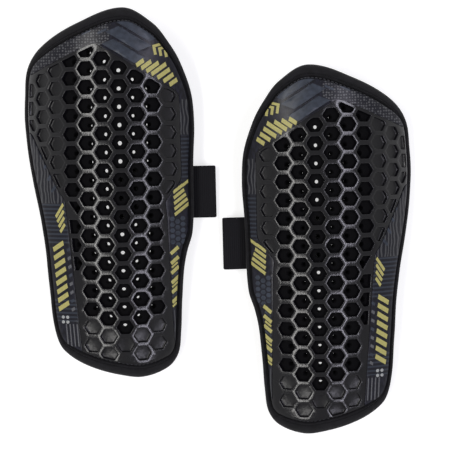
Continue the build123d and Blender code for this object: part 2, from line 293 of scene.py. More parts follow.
def fill(loops, keep, spacing=2.6):
    """Triangles over the plan region that keep accepts, with each loop kept as edges."""
    points = []
    edges = []
    for loop in loops:
        first = len(points)
        points.extend((float(x), float(y)) for x, y in loop)
        edges.extend((first + i, first + (i + 1) % len(loop)) for i in range(len(loop)))
    outline = np.array(points)
    rows = np.arange(outline[:, 1].min(), outline[:, 1].max(), spacing * 0.87)
    grid = []
    for i, y in enumerate(rows):
        shift = spacing / 2 if i % 2 else 0.0
        grid.extend((x, y) for x in np.arange(outline[:, 0].min() + shift, outline[:, 0].max(), spacing))
    grid = np.array(grid)
    grid = grid[keep(grid)]
    clear = np.ones(len(grid), bool)
    for start in range(0, len(outline), 400):
        near = np.linalg.norm(grid[:, None] - outline[None, start:start + 400], axis=2).min(1)
        clear &= near > spacing * 0.35
    points.extend((float(x), float(y)) for x, y in grid[clear])
    verts, _, faces, _, _, _ = delaunay_2d_cdt([Vector(p) for p in points], edges, [], 0, 1e-5)
    verts = np.array([(v.x, v.y) for v in verts])
    faces = np.array([f for f in faces if len(f) == 3])
    faces = faces[keep(verts[faces].mean(1))]
    return verts, faces


def fill_plate(border, holes, spacing=2.6):
    """Triangles inside a border and outside every hole."""
    def keep(points):
        kept = inside(points, border)
        for hole in holes:
            low, high = hole.min(0) - 0.01, hole.max(0) + 0.01
            near = np.flatnonzero(kept & (points > low).all(1) & (points < high).all(1))
            kept[near] &= ~inside(points[near], hole)
        return kept
    return fill([border, *holes], keep, spacing)


# Mesh assembly


class Sheet:
    """Vertices in plan coordinates with a height, and their faces."""

    def __init__(self):
        self.points = []
        self.heights = []
        self.faces = []
        self.kinds = []

    def add(self, plan, height):
        """Add points and give back their numbers."""
        first = len(self.points)
        plan = np.asarray(plan, float)
        self.points.extend(map(tuple, plan))
        self.heights.extend(np.broadcast_to(height, len(plan)))
        return np.arange(first, first + len(plan))

    def face(self, ring, kind=0):
        """Add one face."""
        self.faces.append([int(i) for i in ring])
        self.kinds.append(kind)

    def strip(self, upper, lower, kind=0):
        """Join two rings with quads."""
        count = len(upper)
        for i in range(count):
            k = (i + 1) % count
            self.face((upper[i], lower[i], lower[k], upper[k]), kind)

    def sheet(self, plan, faces, height, flip=False):
        """Add a filled region."""
        numbers = self.add(plan, height)
        for tri in faces:
            self.face(numbers[tri[::-1] if flip else tri])

    def build(self, name, side, materials, smooth=35):
        """A wrapped, merged object in the row frame."""
        plan = np.array(self.points)
        wrapped = wrap(plan[:, 0], plan[:, 1], np.array(self.heights))
        return finish_mesh(name, side, wrapped, self.faces, self.kinds, plan, materials, smooth)


def deselect():
    """Leave nothing selected."""
    for item in bpy.context.view_layer.objects:
        item.select_set(False)


def new_object(name, mesh):
    """A mesh's object, linked, active and the only one selected."""
    item = bpy.data.objects.new(name, mesh)
    bpy.context.scene.collection.objects.link(item)
    deselect()
    bpy.context.view_layer.objects.active = item
    item.select_set(True)
    return item


def on_whole_mesh(*operators):
    """Run edit mode operators on the active object, each with everything selected."""
    bpy.ops.object.mode_set(mode="EDIT")
    for operator, settings in operators:
        bpy.ops.mesh.select_all(action="SELECT")
        operator(**settings)
    bpy.ops.object.mode_set(mode="OBJECT")


def apply_modifier(item, kind, **settings):
    """Add a modifier to the active object and apply it."""
    modifier = item.modifiers.new(kind.lower(), kind)
    for key, value in settings.items():
        setattr(modifier, key, value)
    bpy.ops.object.modifier_apply(modifier=modifier.name)


def add_flat_map(mesh, plan):
    """A UV map in mm from a plan position for each vertex."""
    corner = np.empty(len(mesh.loops), int)
    mesh.loops.foreach_get("vertex_index", corner)
    uv = mesh.uv_layers.new(name="flat")
    uv.data.foreach_set("uv", np.asarray(plan, float)[corner].astype(np.float32).ravel())


def finish_mesh(name, side, points, faces, kinds, flat, materials, smooth):
    """Object from points in the guard's frame, with a flat UV map in mm."""
    mesh = bpy.data.meshes.new(name)
    mesh.from_pydata([tuple(p) for p in points], [], faces)
    add_flat_map(mesh, flat)
    mesh.polygons.foreach_set("material_index", kinds)
    for material in materials:
        mesh.materials.append(material)
    mesh.transform(place_matrix(side))
    item = new_object(name, mesh)
    on_whole_mesh(
        (bpy.ops.mesh.remove_doubles, {"threshold": MERGE_GAP}),
        (bpy.ops.mesh.normals_make_consistent, {"inside": False}),
    )
    bpy.ops.object.shade_smooth_by_angle(angle=radians(smooth))
    item.select_set(False)
    return item


# Honeycomb cells


def clip(poly, point, normal):
    """Keep the part of a convex run on the side of a line that its normal points to."""
    kept = []
    count = len(poly)
    for i in range(count):
        a, b = np.array(poly[i]), np.array(poly[(i + 1) % count])
        da, db = (a - point) @ normal, (b - point) @ normal
        if da >= 0:
            kept.append(tuple(a))
        if (da >= 0) != (db >= 0):
            kept.append(tuple(a + (b - a) * da / (da - db)))
    return kept


def tidy(poly, least=0.35):
    """Drop points that nearly coincide."""
    kept = [poly[0]]
    for p in poly[1:]:
        if hypot(p[0] - kept[-1][0], p[1] - kept[-1][1]) > least:
            kept.append(p)
    if hypot(kept[0][0] - kept[-1][0], kept[0][1] - kept[-1][1]) <= least:
        kept.pop()
    return kept


def eased_corner(a, b, c, cut_in, cut_out, steps):
    """Points round the corner b, from a cut towards a to a cut towards c."""
    start = b + (a - b) / np.linalg.norm(a - b) * cut_in
    end = b + (c - b) / np.linalg.norm(c - b) * cut_out
    return [(1 - t) ** 2 * start + 2 * t * (1 - t) * b + t * t * end for t in np.linspace(0, 1, steps)]


def ring(poly, depth, radius):
    """A convex run moved inwards, with each corner rounded."""
    count = len(poly)
    moved = []
    for i in range(count):
        a, b, c = (np.array(poly[(i + k) % count]) for k in (-1, 0, 1))
        n0 = np.array([-(b - a)[1], (b - a)[0]]) / np.linalg.norm(b - a)
        n1 = np.array([-(c - b)[1], (c - b)[0]]) / np.linalg.norm(c - b)
        moved.append(b + depth * (n0 + n1) / (1 + n0 @ n1))
    rounded = []
    for i in range(count):
        a, b, c = (moved[(i + k) % count] for k in (-1, 0, 1))
        cut_in = min(radius, 0.42 * np.linalg.norm(b - a))
        cut_out = min(radius, 0.42 * np.linalg.norm(c - b))
        rounded += eased_corner(a, b, c, cut_in, cut_out, 4)
    return np.array(rounded)


def cut_back(poly, centre, loop, reach):
    """A cell's outline cut back from each nearby edge of a loop, or nothing if too little is left."""
    for i in range(len(loop)):
        a, b = np.array(loop[i - 1]), np.array(loop[i])
        ahead = b - a
        share = np.clip((centre - a) @ ahead / (ahead @ ahead), 0, 1)
        if np.linalg.norm(a + ahead * share - centre) > reach:
            continue
        normal = np.array([-ahead[1], ahead[0]]) / np.linalg.norm(ahead)
        if (centre - a) @ normal < 0:
            normal = -normal
        poly = clip(poly, a + normal * CELL_EDGE_MARGIN, normal)
        if len(poly) < 3:
            return []
    return poly


def cells():
    """Each cell: its centre, its plan outline and whether it is open to the foam."""
    found = []
    border = inset(EDGE, RIM_SIDE + GROOVE, RIM_END + GROOVE)
    limit = smooth_run(border, 6.0)
    size = CELL_WIDTH / 2 / cos(radians(30))
    for column in range(-6, 4):
        across = COLUMN_START + column * CELL_PITCH * cos(radians(30))
        shift = CELL_PITCH / 2 if column % 2 else 0.0
        least = CELL_WIDTH / 2 * cos(across / CROSS_RADIUS) * 0.25
        for row in range(-9, 9):
            along = ROW_START + row * CELL_PITCH + shift
            centre = np.array(plan_point(across, along))
            if not all(inside([centre], loop)[0] for loop in (WINDOW, border)):
                continue
            if min(edge_distance(centre, loop) for loop in (WINDOW, border)) < least:
                continue
            turns = [radians(60 * k) for k in range(6)]
            poly = [plan_point(across + CELL_STRETCH * size * cos(t), along + size * sin(t)) for t in turns]
            for loop in (WINDOW, limit):
                poly = poly and cut_back(poly, centre, loop, size + 1.5)
            if not poly:
                continue
            poly = tidy(poly)
            area = 0.5 * sum(a[0] * b[1] - b[0] * a[1] for a, b in zip([poly[-1]] + poly[:-1], poly))
            if len(poly) < 3 or abs(area) < LEAST_CELL:
                continue
            open_cell = column in OPEN_ABOVE and centre[1] > OPEN_ABOVE[column]
            found.append((centre, poly if area > 0 else poly[::-1], open_cell))
    return found


CELLS = cells()


# Finishes


def shader(name, colour, roughness, **more):
    """A principled material with plain settings."""
    material = bpy.data.materials.new(name)
    material.use_nodes = True
    surface = material.node_tree.nodes["Principled BSDF"]
    surface.inputs["Base Color"].default_value = (*colour, 1.0)
    surface.inputs["Roughness"].default_value = roughness
    for key, value in more.items():
        surface.inputs[key.replace("_", " ")].default_value = value
    return material, material.node_tree, surface


def add_node(tree, kind, inputs=(), **settings):
    """A shader node with its settings and its inputs' values."""
    node = tree.nodes.new(f"ShaderNode{kind}")
    for key, value in settings.items():
        setattr(node, key, value)
    for key, value in dict(inputs).items():
        node.inputs[key].default_value = value
    return node


def bump_from(tree, surface, height, strength, distance):
    """Feed a height into the surface's normal."""
    bump = add_node(tree, "Bump", {"Strength": strength, "Distance": distance})
    tree.links.new(height, bump.inputs["Height"])
    tree.links.new(bump.outputs["Normal"], surface.inputs["Normal"])


def speckle(tree, scale, detail=2.0):
    """Noise on object coordinates."""
    where = add_node(tree, "TexCoord")
    noise = add_node(tree, "TexNoise", {"Scale": scale, "Detail": detail})
    tree.links.new(where.outputs["Object"], noise.inputs["Vector"])
    return noise.outputs["Fac"]


def uv_wave(tree, per_mm, axis):
    """Sine along one direction of the flat UV map."""
    where = add_node(tree, "UVMap", uv_map="flat")
    split = add_node(tree, "SeparateXYZ")
    times = add_node(tree, "Math", {1: 2 * pi * per_mm}, operation="MULTIPLY")
    wave = add_node(tree, "Math", operation="SINE")
    tree.links.new(where.outputs["UV"], split.inputs[0])
    tree.links.new(split.outputs[axis], times.inputs[0])
    tree.links.new(times.outputs[0], wave.inputs[0])
    return wave.outputs[0]


def combine(tree, a, b, operation="MULTIPLY"):
    """Join two values."""
    node = add_node(tree, "Math", operation=operation)
    tree.links.new(a, node.inputs[0])
    tree.links.new(b, node.inputs[1])
    return node.outputs[0]


MATERIALS = {}


def flat_uv(tree, stretch=(1.0, 1.0)):
    """The flat UV map in mm, stretched."""
    where = add_node(tree, "UVMap", uv_map="flat")
    size = add_node(tree, "Mapping", {"Scale": (*stretch, 1.0)})
    tree.links.new(where.outputs["UV"], size.inputs["Vector"])
    return size.outputs["Vector"]


def two_tone(tree, surface, value, low, high, start, stop):
    """Colour the surface between two tones by a value."""
    ramp = add_node(tree, "ValToRGB")
    for element, place, tone in zip(ramp.color_ramp.elements, (start, stop), (low, high)):
        element.position = place
        element.color = (*tone, 1.0)
    tree.links.new(value, ramp.inputs["Fac"])
    tree.links.new(ramp.outputs["Color"], surface.inputs["Base Color"])


def flat_noise(tree, scale, detail=2.0, stretch=(1.0, 1.0)):
    """Noise on the flat UV map."""
    noise = add_node(tree, "TexNoise", {"Scale": scale, "Detail": detail})
    tree.links.new(flat_uv(tree, stretch), noise.inputs["Vector"])
    return noise.outputs["Fac"]


def dim(colour, share):
    """A darker or lighter tone of a colour."""
    return tuple(c * share for c in colour)


def dot_pattern(tree):
    """Distance to the nearest of many scattered dots."""
    dots = add_node(tree, "TexVoronoi", {"Scale": 0.62, "Randomness": 0.35})
    tree.links.new(flat_uv(tree), dots.inputs["Vector"])
    return dots.outputs["Distance"]


def contour_pattern(tree):
    """Winding contour lines."""
    shape = {"Scale": 0.16, "Distortion": 7.0, "Detail": 1.5, "Detail Scale": 0.9}
    wave = add_node(tree, "TexWave", shape)
    tree.links.new(flat_uv(tree, (1.0, 0.6)), wave.inputs["Vector"])
    return wave.outputs["Fac"]


def band_pattern(tree):
    """Broken rungs across the film."""
    return combine(tree, uv_wave(tree, 0.42, 1), flat_noise(tree, 0.5, 3.0))


def printed(finish, colour, roughness, pattern, low, high, limits):
    """A film finish that runs between two tones over a pattern."""
    material, tree, surface = shader(f"film_{finish}", colour, roughness, Specular_IOR_Level=0.28)
    two_tone(tree, surface, pattern(tree), low, high, *limits)
    MATERIALS[finish] = material


# Plain inks: roughness, scale and detail of their noise, and shares of their dark and light tones
INKS = {
    "gold": (0.42, 1.6, 3.0, 0.82, 1.12),
    "slate": (0.34, 0.35, 2.0, 0.75, 1.2),
    "grey": (0.36, 1.2, 2.0, 0.8, 1.1),
    "mist": (0.4, 1.2, 2.0, 0.8, 1.0),
}
FILM_FINISHES = ("ground", "dotted", "contour", "bands", *INKS)


def film_materials(colours):
    """The printed film's ground, its textures and its plain inks."""
    film, grey, slate = colours.film, colours.grey, colours.slate

    def cloudy(tree):
        return flat_noise(tree, 0.9, 4.0, (1.0, 0.35))

    printed("ground", film, 0.32, cloudy, dim(film, 0.6), dim(film, 2.0), (0.4, 0.66))
    printed("dotted", film, 0.32, dot_pattern, dim(grey, 0.75), film, (0.3, 0.38))
    printed("contour", film, 0.32, contour_pattern, film, dim(grey, 0.55), (0.62, 0.72))
    printed("bands", film, 0.32, band_pattern, film, dim(slate, 0.8), (0.1, 0.16))
    for finish, (roughness, scale, detail, dark, light) in INKS.items():
        ink = getattr(colours, finish)

        def mottle(tree):
            return flat_noise(tree, scale, detail)

        printed(finish, ink, roughness, mottle, dim(ink, dark), dim(ink, light), (0.35, 0.65))


def grained(finish, name, colour, roughness, grain, strength, distance, **more):
    """A finish with a fine grain, given by its noise's scale and detail."""
    material, tree, surface = shader(name, colour, roughness, **more)
    bump_from(tree, surface, speckle(tree, *grain), strength, distance)
    MATERIALS[finish] = material
    return tree, surface


def knitted(finish, colour, roughness, per_mm, distance, **more):
    """A knit with its stitches in its bump."""
    material, tree, surface = shader(f"{finish}_knit", colour, roughness, **more)
    weave = combine(tree, uv_wave(tree, per_mm, 0), uv_wave(tree, per_mm, 1))
    bump_from(tree, surface, weave, 0.5, distance)
    MATERIALS[finish] = material
    return tree, surface, weave


def cloth(specular, sheen, sheen_roughness):
    """A fabric's gloss and sheen."""
    return {"Specular_IOR_Level": specular, "Sheen_Weight": sheen, "Sheen_Roughness": sheen_roughness}


def make_materials(colours):
    """Every finish on the guards."""
    shell, foam, rim, strap = colours.shell, colours.foam, colours.rim, colours.strap
    # The cells' lip faces are the shell's own plastic painted 1.5 times lighter, a painted highlight along
    # each cell's outline, with a glossier finish
    grained("lip", "lip_plastic", dim(shell, 1.5), 0.2, (700.0,), 0.05, 0.0002)
    tree, s = grained("shell", "shell_plastic", shell, 0.27, (1100.0,), 0.12, 0.0003)
    wear = add_node(tree, "MapRange", {"To Min": 0.14, "To Max": 0.24})
    tree.links.new(speckle(tree, 45.0, 3.0), wear.inputs["Value"])
    tree.links.new(wear.outputs["Result"], s.inputs["Roughness"])
    grained(
        "floor", "cell_floor_plastic", shell, 0.3, (1100.0,), 0.08, 0.0003, Specular_IOR_Level=0.35
    )
    film_materials(colours)
    grained("foam", "foam_black", foam, 0.9, (1800.0, 3.0), 0.5, 0.0003, Specular_IOR_Level=0.12)
    tree, s, weave = knitted("lining", foam, 0.9, 0.9, 0.0003, **cloth(0.25, 0.12, 0.5))
    two_tone(tree, s, weave, foam, dim(foam, 3.2), 0.2, 0.9)
    tree, s, _ = knitted("rim", rim, 0.75, 1.1, 0.00025, **cloth(0.22, 0.06, 0.45))
    two_tone(tree, s, speckle(tree, 260.0, 4.0), dim(rim, 0.7), dim(rim, 1.5), 0.35, 0.68)
    grained("thread", "thread", colours.thread, 0.5, (2400.0, 1.0), 0.4, 0.0002)
    MATERIALS["strap"], tree, s = shader("elastic", strap, 0.78, **cloth(0.2, 0.05, 0.4))
    ribs = combine(tree, uv_wave(tree, 0.85, 1), flat_noise(tree, 1.4, 2.0, (0.2, 1.0)), "ADD")
    bump_from(tree, s, combine(tree, ribs, uv_wave(tree, 1.6, 0), "ADD"), 0.35, 0.0002)
    two_tone(tree, s, ribs, dim(strap, 0.8), dim(strap, 1.35), 0.2, 1.0)
    grained("hook", "hook_tape", strap, 0.55, (2600.0, 1.0), 0.9, 0.0006)
    tape = {"Sheen_Weight": 0.3, "Sheen_Roughness": 0.6}
    grained("loop", "loop_tape", strap, 0.95, (1500.0, 4.0), 0.8, 0.0006, **tape)


# Pieces


def shell_edge(extra=0.0, step=1.6):
    """The shell's edge in plan, moved inwards by a further amount."""
    return smooth_run(inset(EDGE, RIM_SIDE + GROOVE + extra, RIM_END + GROOVE + extra), step)


def matched_edges(*margins, step=1.6):
    """Several insets of the rim's edge with matching points."""
    base = smooth_run(EDGE, step)
    return [inset(base, side, end) for side, end in margins]


def honeycomb_shell(side):
    """The moulded plate: rounded open cells, shallow cells with floors, and a rolled edge."""
    s = Sheet()
    rims = matched_edges(*[(RIM_SIDE + GROOVE + d, RIM_END + GROOVE + d) for d, _ in PLATE_EDGE])
    top_holes = []
    low_holes = []
    for _, poly, open_cell in CELLS:
        share = min(1.0, float(np.ptp(np.array(poly), axis=0).min()) / CELL_WIDTH)
        cell_floor = CELL_FLOOR + NARROW_LIFT * (1.0 - share)
        wall = [*CELL_LIP, (CELL_DRAFT, 0.0 if open_cell else cell_floor + FLOOR_FILLET)]
        rings = [ring(poly, depth, CELL_CORNER) for depth, _ in wall]
        numbers = [s.add(r, height) for r, (_, height) in zip(rings, wall)]
        for i, (a, b) in enumerate(zip(numbers, numbers[1:])):
            # The lip faces take the lip material: the shell plastic painted lighter as a painted highlight
            # round each cell
            s.strip(a, b, LIP if i < len(CELL_LIP) - 1 else PLATE)
        top_holes.append(rings[0])
        if open_cell:
            low_holes.append(rings[-1])
            continue
        soft = s.add(ring(poly, CELL_DRAFT + 0.27 * share, CELL_CORNER), cell_floor + 0.08)
        inner = ring(poly, CELL_DRAFT + 0.55 * share, 0.45)
        flat = s.add(inner, cell_floor)
        middle = s.add([np.mean(inner, 0)], cell_floor)[0]
        s.strip(numbers[-1], soft, FLOOR)
        s.strip(soft, flat, FLOOR)
        for i in range(len(flat)):
            s.face((flat[i], flat[(i + 1) % len(flat)], middle), FLOOR)
    s.sheet(*fill_plate(rims[0], top_holes), SHELL_TOP)
    s.sheet(*fill_plate(rims[-1], low_holes, 4.0), 0.0, flip=True)
    numbers = [s.add(r, height) for r, (_, height) in zip(rims, PLATE_EDGE)]
    for a, b in zip(numbers, numbers[1:]):
        s.strip(a, b)
    item = s.build(f"{side}_shell_moulding", side, [MATERIALS[key] for key in ("shell", "floor", "lip")])
    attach(item, f"{side}_guard")
    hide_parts(f"{side}_honeycomb_shell")


def bar(x, y, length, width, angle, skew=0.0):
    """A bar in plan from its middle, size, direction and the slant of its ends in degrees."""
    a = radians(angle)
    along = np.array([cos(a), sin(a)])
    across = np.array([-sin(a), cos(a)])
    lean = tan(radians(skew)) * width / 2
    middle = np.array([x, y])
    return [
        middle - along * (length / 2 + lean) - across * width / 2,
        middle + along * (length / 2 - lean) - across * width / 2,
        middle + along * (length / 2 + lean) + across * width / 2,
        middle - along * (length / 2 - lean) + across * width / 2,
    ]


def chevron(x, y, reach, width, angle, spread):
    """A pointed V in plan: its tip, arm length, thickness, direction and opening in degrees."""
    a = radians(angle)
    half = radians(spread / 2)
    tip = np.array([x, y])
    inner = tip + width / sin(half) * np.array([cos(a), sin(a)])
    one = np.array([cos(a - half), sin(a - half)])
    two = np.array([cos(a + half), sin(a + half)])
    left = np.array([cos(a + half - pi / 2), sin(a + half - pi / 2)])
    right = np.array([cos(a - half + pi / 2), sin(a - half + pi / 2)])
    return [
        tip, tip + one * reach, tip + one * reach + right * width, inner,
        tip + two * reach + left * width, tip + two * reach,
    ]


def disc(x, y, radius, count=8):
    """A round or many-sided dot in plan."""
    turns = [2 * pi * k / count for k in range(count)]
    return [(x + radius * cos(turn), y + radius * sin(turn)) for turn in turns]


def by_window(along, out):
    """A plan point from its distance down the window's slanted knee edge and out from it."""
    start, end = np.array(WINDOW[0]), np.array(WINDOW[1])
    way = (end - start) / np.linalg.norm(end - start)
    return start + way * along + np.array([-way[1], way[0]]) * out


SLANT = degrees(atan((WINDOW[1][1] - WINDOW[0][1]) / (WINDOW[1][0] - WINDOW[0][0])))


def knee_artwork():
    """Generic shapes on the knee and inner panel, each with its finish."""
    art = [
        ([(-60, 60), (-7.7, 84), (0.5, 88.5), (3.5, 110), (-60, 110)], "dotted"),
        ([(37.6, 54.0), (47, 54), (47, 34), (37.6, 34)], "contour"),
        ([(37.6, 33.6), (47, 33.6), (47, 8), (37.6, 8)], "bands"),
        ([(31, -66), (37, -66), (37, -88), (31, -88)], "contour"),
    ]
    for out, width, start in ((4.6, 5.6, 7.5), (11.9, 6.4, 6.0), (19.3, 5.6, 8.0)):
        x, y = by_window(start + 9.0, out)
        art.append((bar(x, y, 21.0, width, SLANT, 35), "slate"))
    for k in range(7):
        length = 9.8 - 1.6 * abs(k - 3)
        x, y = by_window(27.5 + 3.5 * k, 1.3 + 0.46 * length)
        art.append((bar(x, y, length, 2.3, SLANT + 68, 18), "gold"))
    for k in range(3):
        x, y = by_window(28.0 + 3.4 * k, 15.5 + 0.4 * k)
        art.append((chevron(x, y, 5.6 - 0.8 * k, 1.5, SLANT, 96), "gold"))
    for k in range(5):
        art.append((bar(36.4 + 0.5 * k, 3.4 - 2.9 * k, 6.4 + 0.9 * k, 1.7, 38, 20), "gold"))
    art.append((bar(40.6, 6.4, 4.4, 1.6, 38, 20), "gold"))
    for row in range(5):
        for k in range(3):
            x = 33.0 + 2.85 * k
            y = -13.6 - 3.3 * row - (1.65 if k % 2 else 0.0)
            art.append((disc(x, y, 1.45, 6), "slate"))
    for k in range(6):
        art.append((bar(33.8, -31.6 - 5.6 * k, 5.6, 2.0, 42, 12), "gold"))
        art.append((bar(33.6, -34.4 - 5.6 * k, 4.4, 1.0, 42, 12), "gold" if k % 2 else "slate"))
    for k in range(5):
        art.append((bar(-30.0 + 9 * k, 92.0 + 0.4 * k, 5.5, 1.2, 24, 20), "slate"))
    return art


def outer_artwork():
    """Generic shapes on the outer panel, each with its finish."""
    art = [
        ([(-60, 48), (-20, 48), (-20, -3.4), (-60, -3.4)], "contour"),
        ([(-60, -3.8), (-20, -3.8), (-20, -26), (-60, -26)], "bands"),
        ([(-60, -58), (-10, -58), (-10, -71), (-60, -71)], "bands"),
    ]
    for k in range(4):
        art.append((bar(-37.6 + 2.1 * k, 26.5 - 6.6 * k, 9.0, 1.5, 52, 12), "slate"))
    for k in range(4):
        art.append((bar(-29.6 + 0.5 * k, -7.4 - 3.3 * k, 8.6 - 1.1 * k, 1.5, 58, 24), "gold"))
    for k in range(8):
        art.append((bar(-31.0 + 0.3 * k, -27.8 - 4.9 * k, 7.4, 2.5, 34, 22), "gold"))
        art.append((bar(-25.0 + 0.22 * k, -29.6 - 4.9 * k, 2.2, 1.6, 34, 22), "grey" if k % 3 else "slate"))
    for k in range(6):
        art.append((bar(-27.6 + 2.1 * k, -79.0, 13.0, 0.7, 93), "grey"))
    for k in range(4):
        art.append((disc(-29.6 + 2.6 * (k % 2), -68.6 - 2.8 * (k // 2), 0.95, 10), "mist"))
    return art


def fan_points(poly):
    """A few points spread over a shape."""
    middle = poly.mean(0)
    return np.vstack([middle + (poly - middle) * share for share in (0.0, 0.5, 0.97)])


def print_panel(side, name, art, piece):
    """Printed film on the shell, with its shapes as inlaid colours and a rounded edge."""
    edge = shell_edge(0.55, 1.2)
    window = rounded_window(0.35)

    def keep(points):
        return inside(points, edge) & ~inside(points, window) & piece(points)

    shapes = [(np.array(poly, float), finish) for poly, finish in art]
    shapes = [(poly, finish) for poly, finish in shapes if keep(fan_points(poly)).any()]
    plan, faces = fill([edge, window] + [poly for poly, _ in shapes], keep, 2.4)
    kinds = np.zeros(len(faces), int)
    middles = plan[faces].mean(1)
    for poly, finish in shapes:
        low, high = poly.min(0), poly.max(0)
        near = np.flatnonzero((middles > low).all(1) & (middles < high).all(1))
        kinds[near[inside(middles[near], poly)]] = FILM_FINISHES.index(finish)
    mesh = bpy.data.meshes.new(name)
    mesh.from_pydata([(x, y, 0.0) for x, y in plan], [], faces.tolist())
    mesh.polygons.foreach_set("material_index", kinds)
    for finish in FILM_FINISHES:
        mesh.materials.append(MATERIALS[finish])
    item = new_object(f"{side}_{name}", mesh)
    on_whole_mesh(
        (bpy.ops.mesh.delete_loose, {}),
        (bpy.ops.mesh.normals_make_consistent, {"inside": False}),
    )
    if mesh.polygons[0].normal.z < 0:
        mesh.flip_normals()
    apply_modifier(item, "SOLIDIFY", thickness=FILM_TOP - SHELL_TOP, offset=1.0)
    apply_modifier(
        item, "BEVEL", width=0.22, segments=2, limit_method="ANGLE", angle_limit=radians(50)
    )
    co = np.empty(len(mesh.vertices) * 3)
    mesh.vertices.foreach_get("co", co)
    co = co.reshape(-1, 3)
    add_flat_map(mesh, co[:, :2])
    lift = co[:, 2] - co[:, 2].min() + SHELL_TOP
    mesh.vertices.foreach_set("co", wrap(co[:, 0], co[:, 1], lift).ravel())
    mesh.transform(place_matrix(side))
    if side == "right":
        mesh.flip_normals()
    bpy.ops.object.shade_smooth_by_angle(angle=radians(35))
    item.select_set(False)
    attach(item, f"{side}_guard")
    return item


def rounded_window(out):
    """The honeycomb's window with its corners eased, moved outwards a little."""
    loop = []
    count = len(WINDOW)
    for i in range(count):
        a, b, c = (np.array(WINDOW[(i + k) % count]) for k in (-1, 0, 1))
        reach = min(3.0, 0.4 * np.linalg.norm(b - a), 0.4 * np.linalg.norm(c - b))
        loop += eased_corner(a, b, c, reach, reach, 6)
    # The window runs clockwise, so its normals point outwards
    return inset(loop, out, out)


def holes(radius, closing):
    """A round perforation under each open cell, closing up away from the crest."""
    found = []
    for centre, _, open_cell in CELLS:
        if open_cell:
            x = centre[0] - BORE_DRIFT[0] * (centre[0] - CREST)
            y = centre[1] - BORE_DRIFT[1] * max(centre[1], 0.0)
            bore = max(radius - closing * abs(centre[0] - CREST), LEAST_BORE)
            found.append(np.array(disc(x, y, bore, 14)))
    return found


def perforated_layer(side, name, low, high, material, lip, bores, closing):
    """A flexible layer with a round hole under each open cell, closing up sooner on the right guard."""
    if side == "right":
        closing = tuple(RIGHT_CLOSING * share for share in closing)
    s = Sheet()
    border = matched_edges((RIM_SIDE, RIM_END), step=2.0)[0]
    upper, lower = zip(bores, closing)
    loops = [
        holes(upper[0] + lip, upper[1]), holes(*upper), holes(*lower), holes(lower[0] + lip, lower[1]),
    ]
    s.sheet(*fill_plate(border, loops[0], 3.2), high)
    s.sheet(*fill_plate(border, loops[-1], 3.2), low, flip=True)
    for bore in zip(*loops):
        rings = [s.add(r, level) for r, level in zip(bore, (high, high - lip, low + lip, low))]
        for above, below in zip(rings, rings[1:]):
            s.strip(above, below)
    s.strip(s.add(border, high), s.add(border, low))
    item = s.build(f"{side}_{name}", side, [material])
    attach(item, f"{side}_guard")
    return item


def lining_cut(lining):
    """Arc width, plan length and half the whole surface of the lining, in metres."""
    border = matched_edges((RIM_SIDE, RIM_END), step=2.0)[0]
    angles = np.arcsin(border[:, 0] / (CROSS_RADIUS + RIM_TOP))
    across = (CROSS_RADIUS + LINING_BACK) * np.ptp(angles) / 1000
    along = float(np.ptp(border[:, 1])) / 1000
    area = sum(face.area for face in lining.data.polygons) / 2
    return float(across), along, area


# Section of the rim: share of the way in from its outer edge, and height
RIM_PROFILE = [
    (1.0, 0.15), (0.97, 0.75), (0.9, 1.35), (0.82, 1.62), (0.77, 1.3), (0.72, 1.9), (0.62, 2.15),
    (0.45, 2.2), (0.29, 1.95), (0.15, 1.35), (0.05, 0.45), (0.0, -0.7), (0.0, -2.4), (0.03, -3.8),
    (0.12, -4.9), (0.28, -5.45), (0.5, -5.6), (0.75, -5.6), (1.0, -5.55), (1.0, -2.6),
]


def padded_rim(side):
    """The soft roll round the edge, drawn in a little at each stitch."""
    s = Sheet()
    outer, inner = matched_edges((0.0, 0.0), (RIM_SIDE, RIM_END), step=RIM_STEP)
    count = len(outer)
    stitch = np.arange(count) * RIM_STEP / STITCH_PITCH
    pucker = 0.5 + 0.5 * np.cos(2 * pi * stitch)
    slow = np.sin(np.arange(count) * 2 * pi / count * 23) * 0.06
    rings = []
    for share, height in RIM_PROFILE:
        near = max(0.0, (share - 0.55) / 0.45) if height > 0 else 0.0
        level = height - PUCKER * near * pucker + (slow if height > 1 else 0.0)
        rings.append(s.add(outer + (inner - outer) * share, level))
    for a, b in zip(rings, rings[1:] + rings[:1]):
        s.strip(a, b)
    item = s.build(f"{side}_rim_roll", side, [MATERIALS["rim"]], smooth=70)
    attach(item, f"{side}_guard")
    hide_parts(f"{side}_padded_rim")


def rim_stitches(side):
    """Separate lockstitches in the groove between the shell and the rim."""
    deselect()
    bpy.ops.mesh.primitive_uv_sphere_add(segments=8, ring_count=6, radius=1.0)
    bead = bpy.context.object
    shape = np.array([v.co for v in bead.data.vertices])
    faces = [list(p.vertices) for p in bead.data.polygons]
    bpy.data.objects.remove(bead)
    lane = matched_edges((RIM_SIDE + GROOVE * 0.45, RIM_END + GROOVE * 0.45), step=STITCH_PITCH)[0]
    s = Sheet()
    for spot, way in zip(lane, directions(lane)):
        cross = np.array([-way[1], way[0]])
        plan = spot + np.outer(shape[:, 0] * 0.95, way) + np.outer(shape[:, 1] * 0.27, cross)
        first = s.add(plan, STITCH_LEVEL + shape[:, 2] * 0.28 - 0.15 * shape[:, 0] ** 2)[0]
        for corners in faces:
            s.face([first + i for i in corners])
    item = s.build(f"{side}_rim_lockstitches", side, [MATERIALS["thread"]], smooth=60)
    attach(item, f"{side}_guard")
    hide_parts(f"{side}_rim_stitching")


# Strap


def inner_edge(y):
    """The rim's inner-side edge at a distance along the guard."""
    run = [p for p in EDGE if p[0] > 20.0]
    for (x0, y0), (x1, y1) in zip(run, run[1:]):
        if y0 <= y <= y1:
            return x0 + (x1 - x0) * (y - y0) / (y1 - y0)
    raise ValueError("the strap lies outside the guard's inner side")


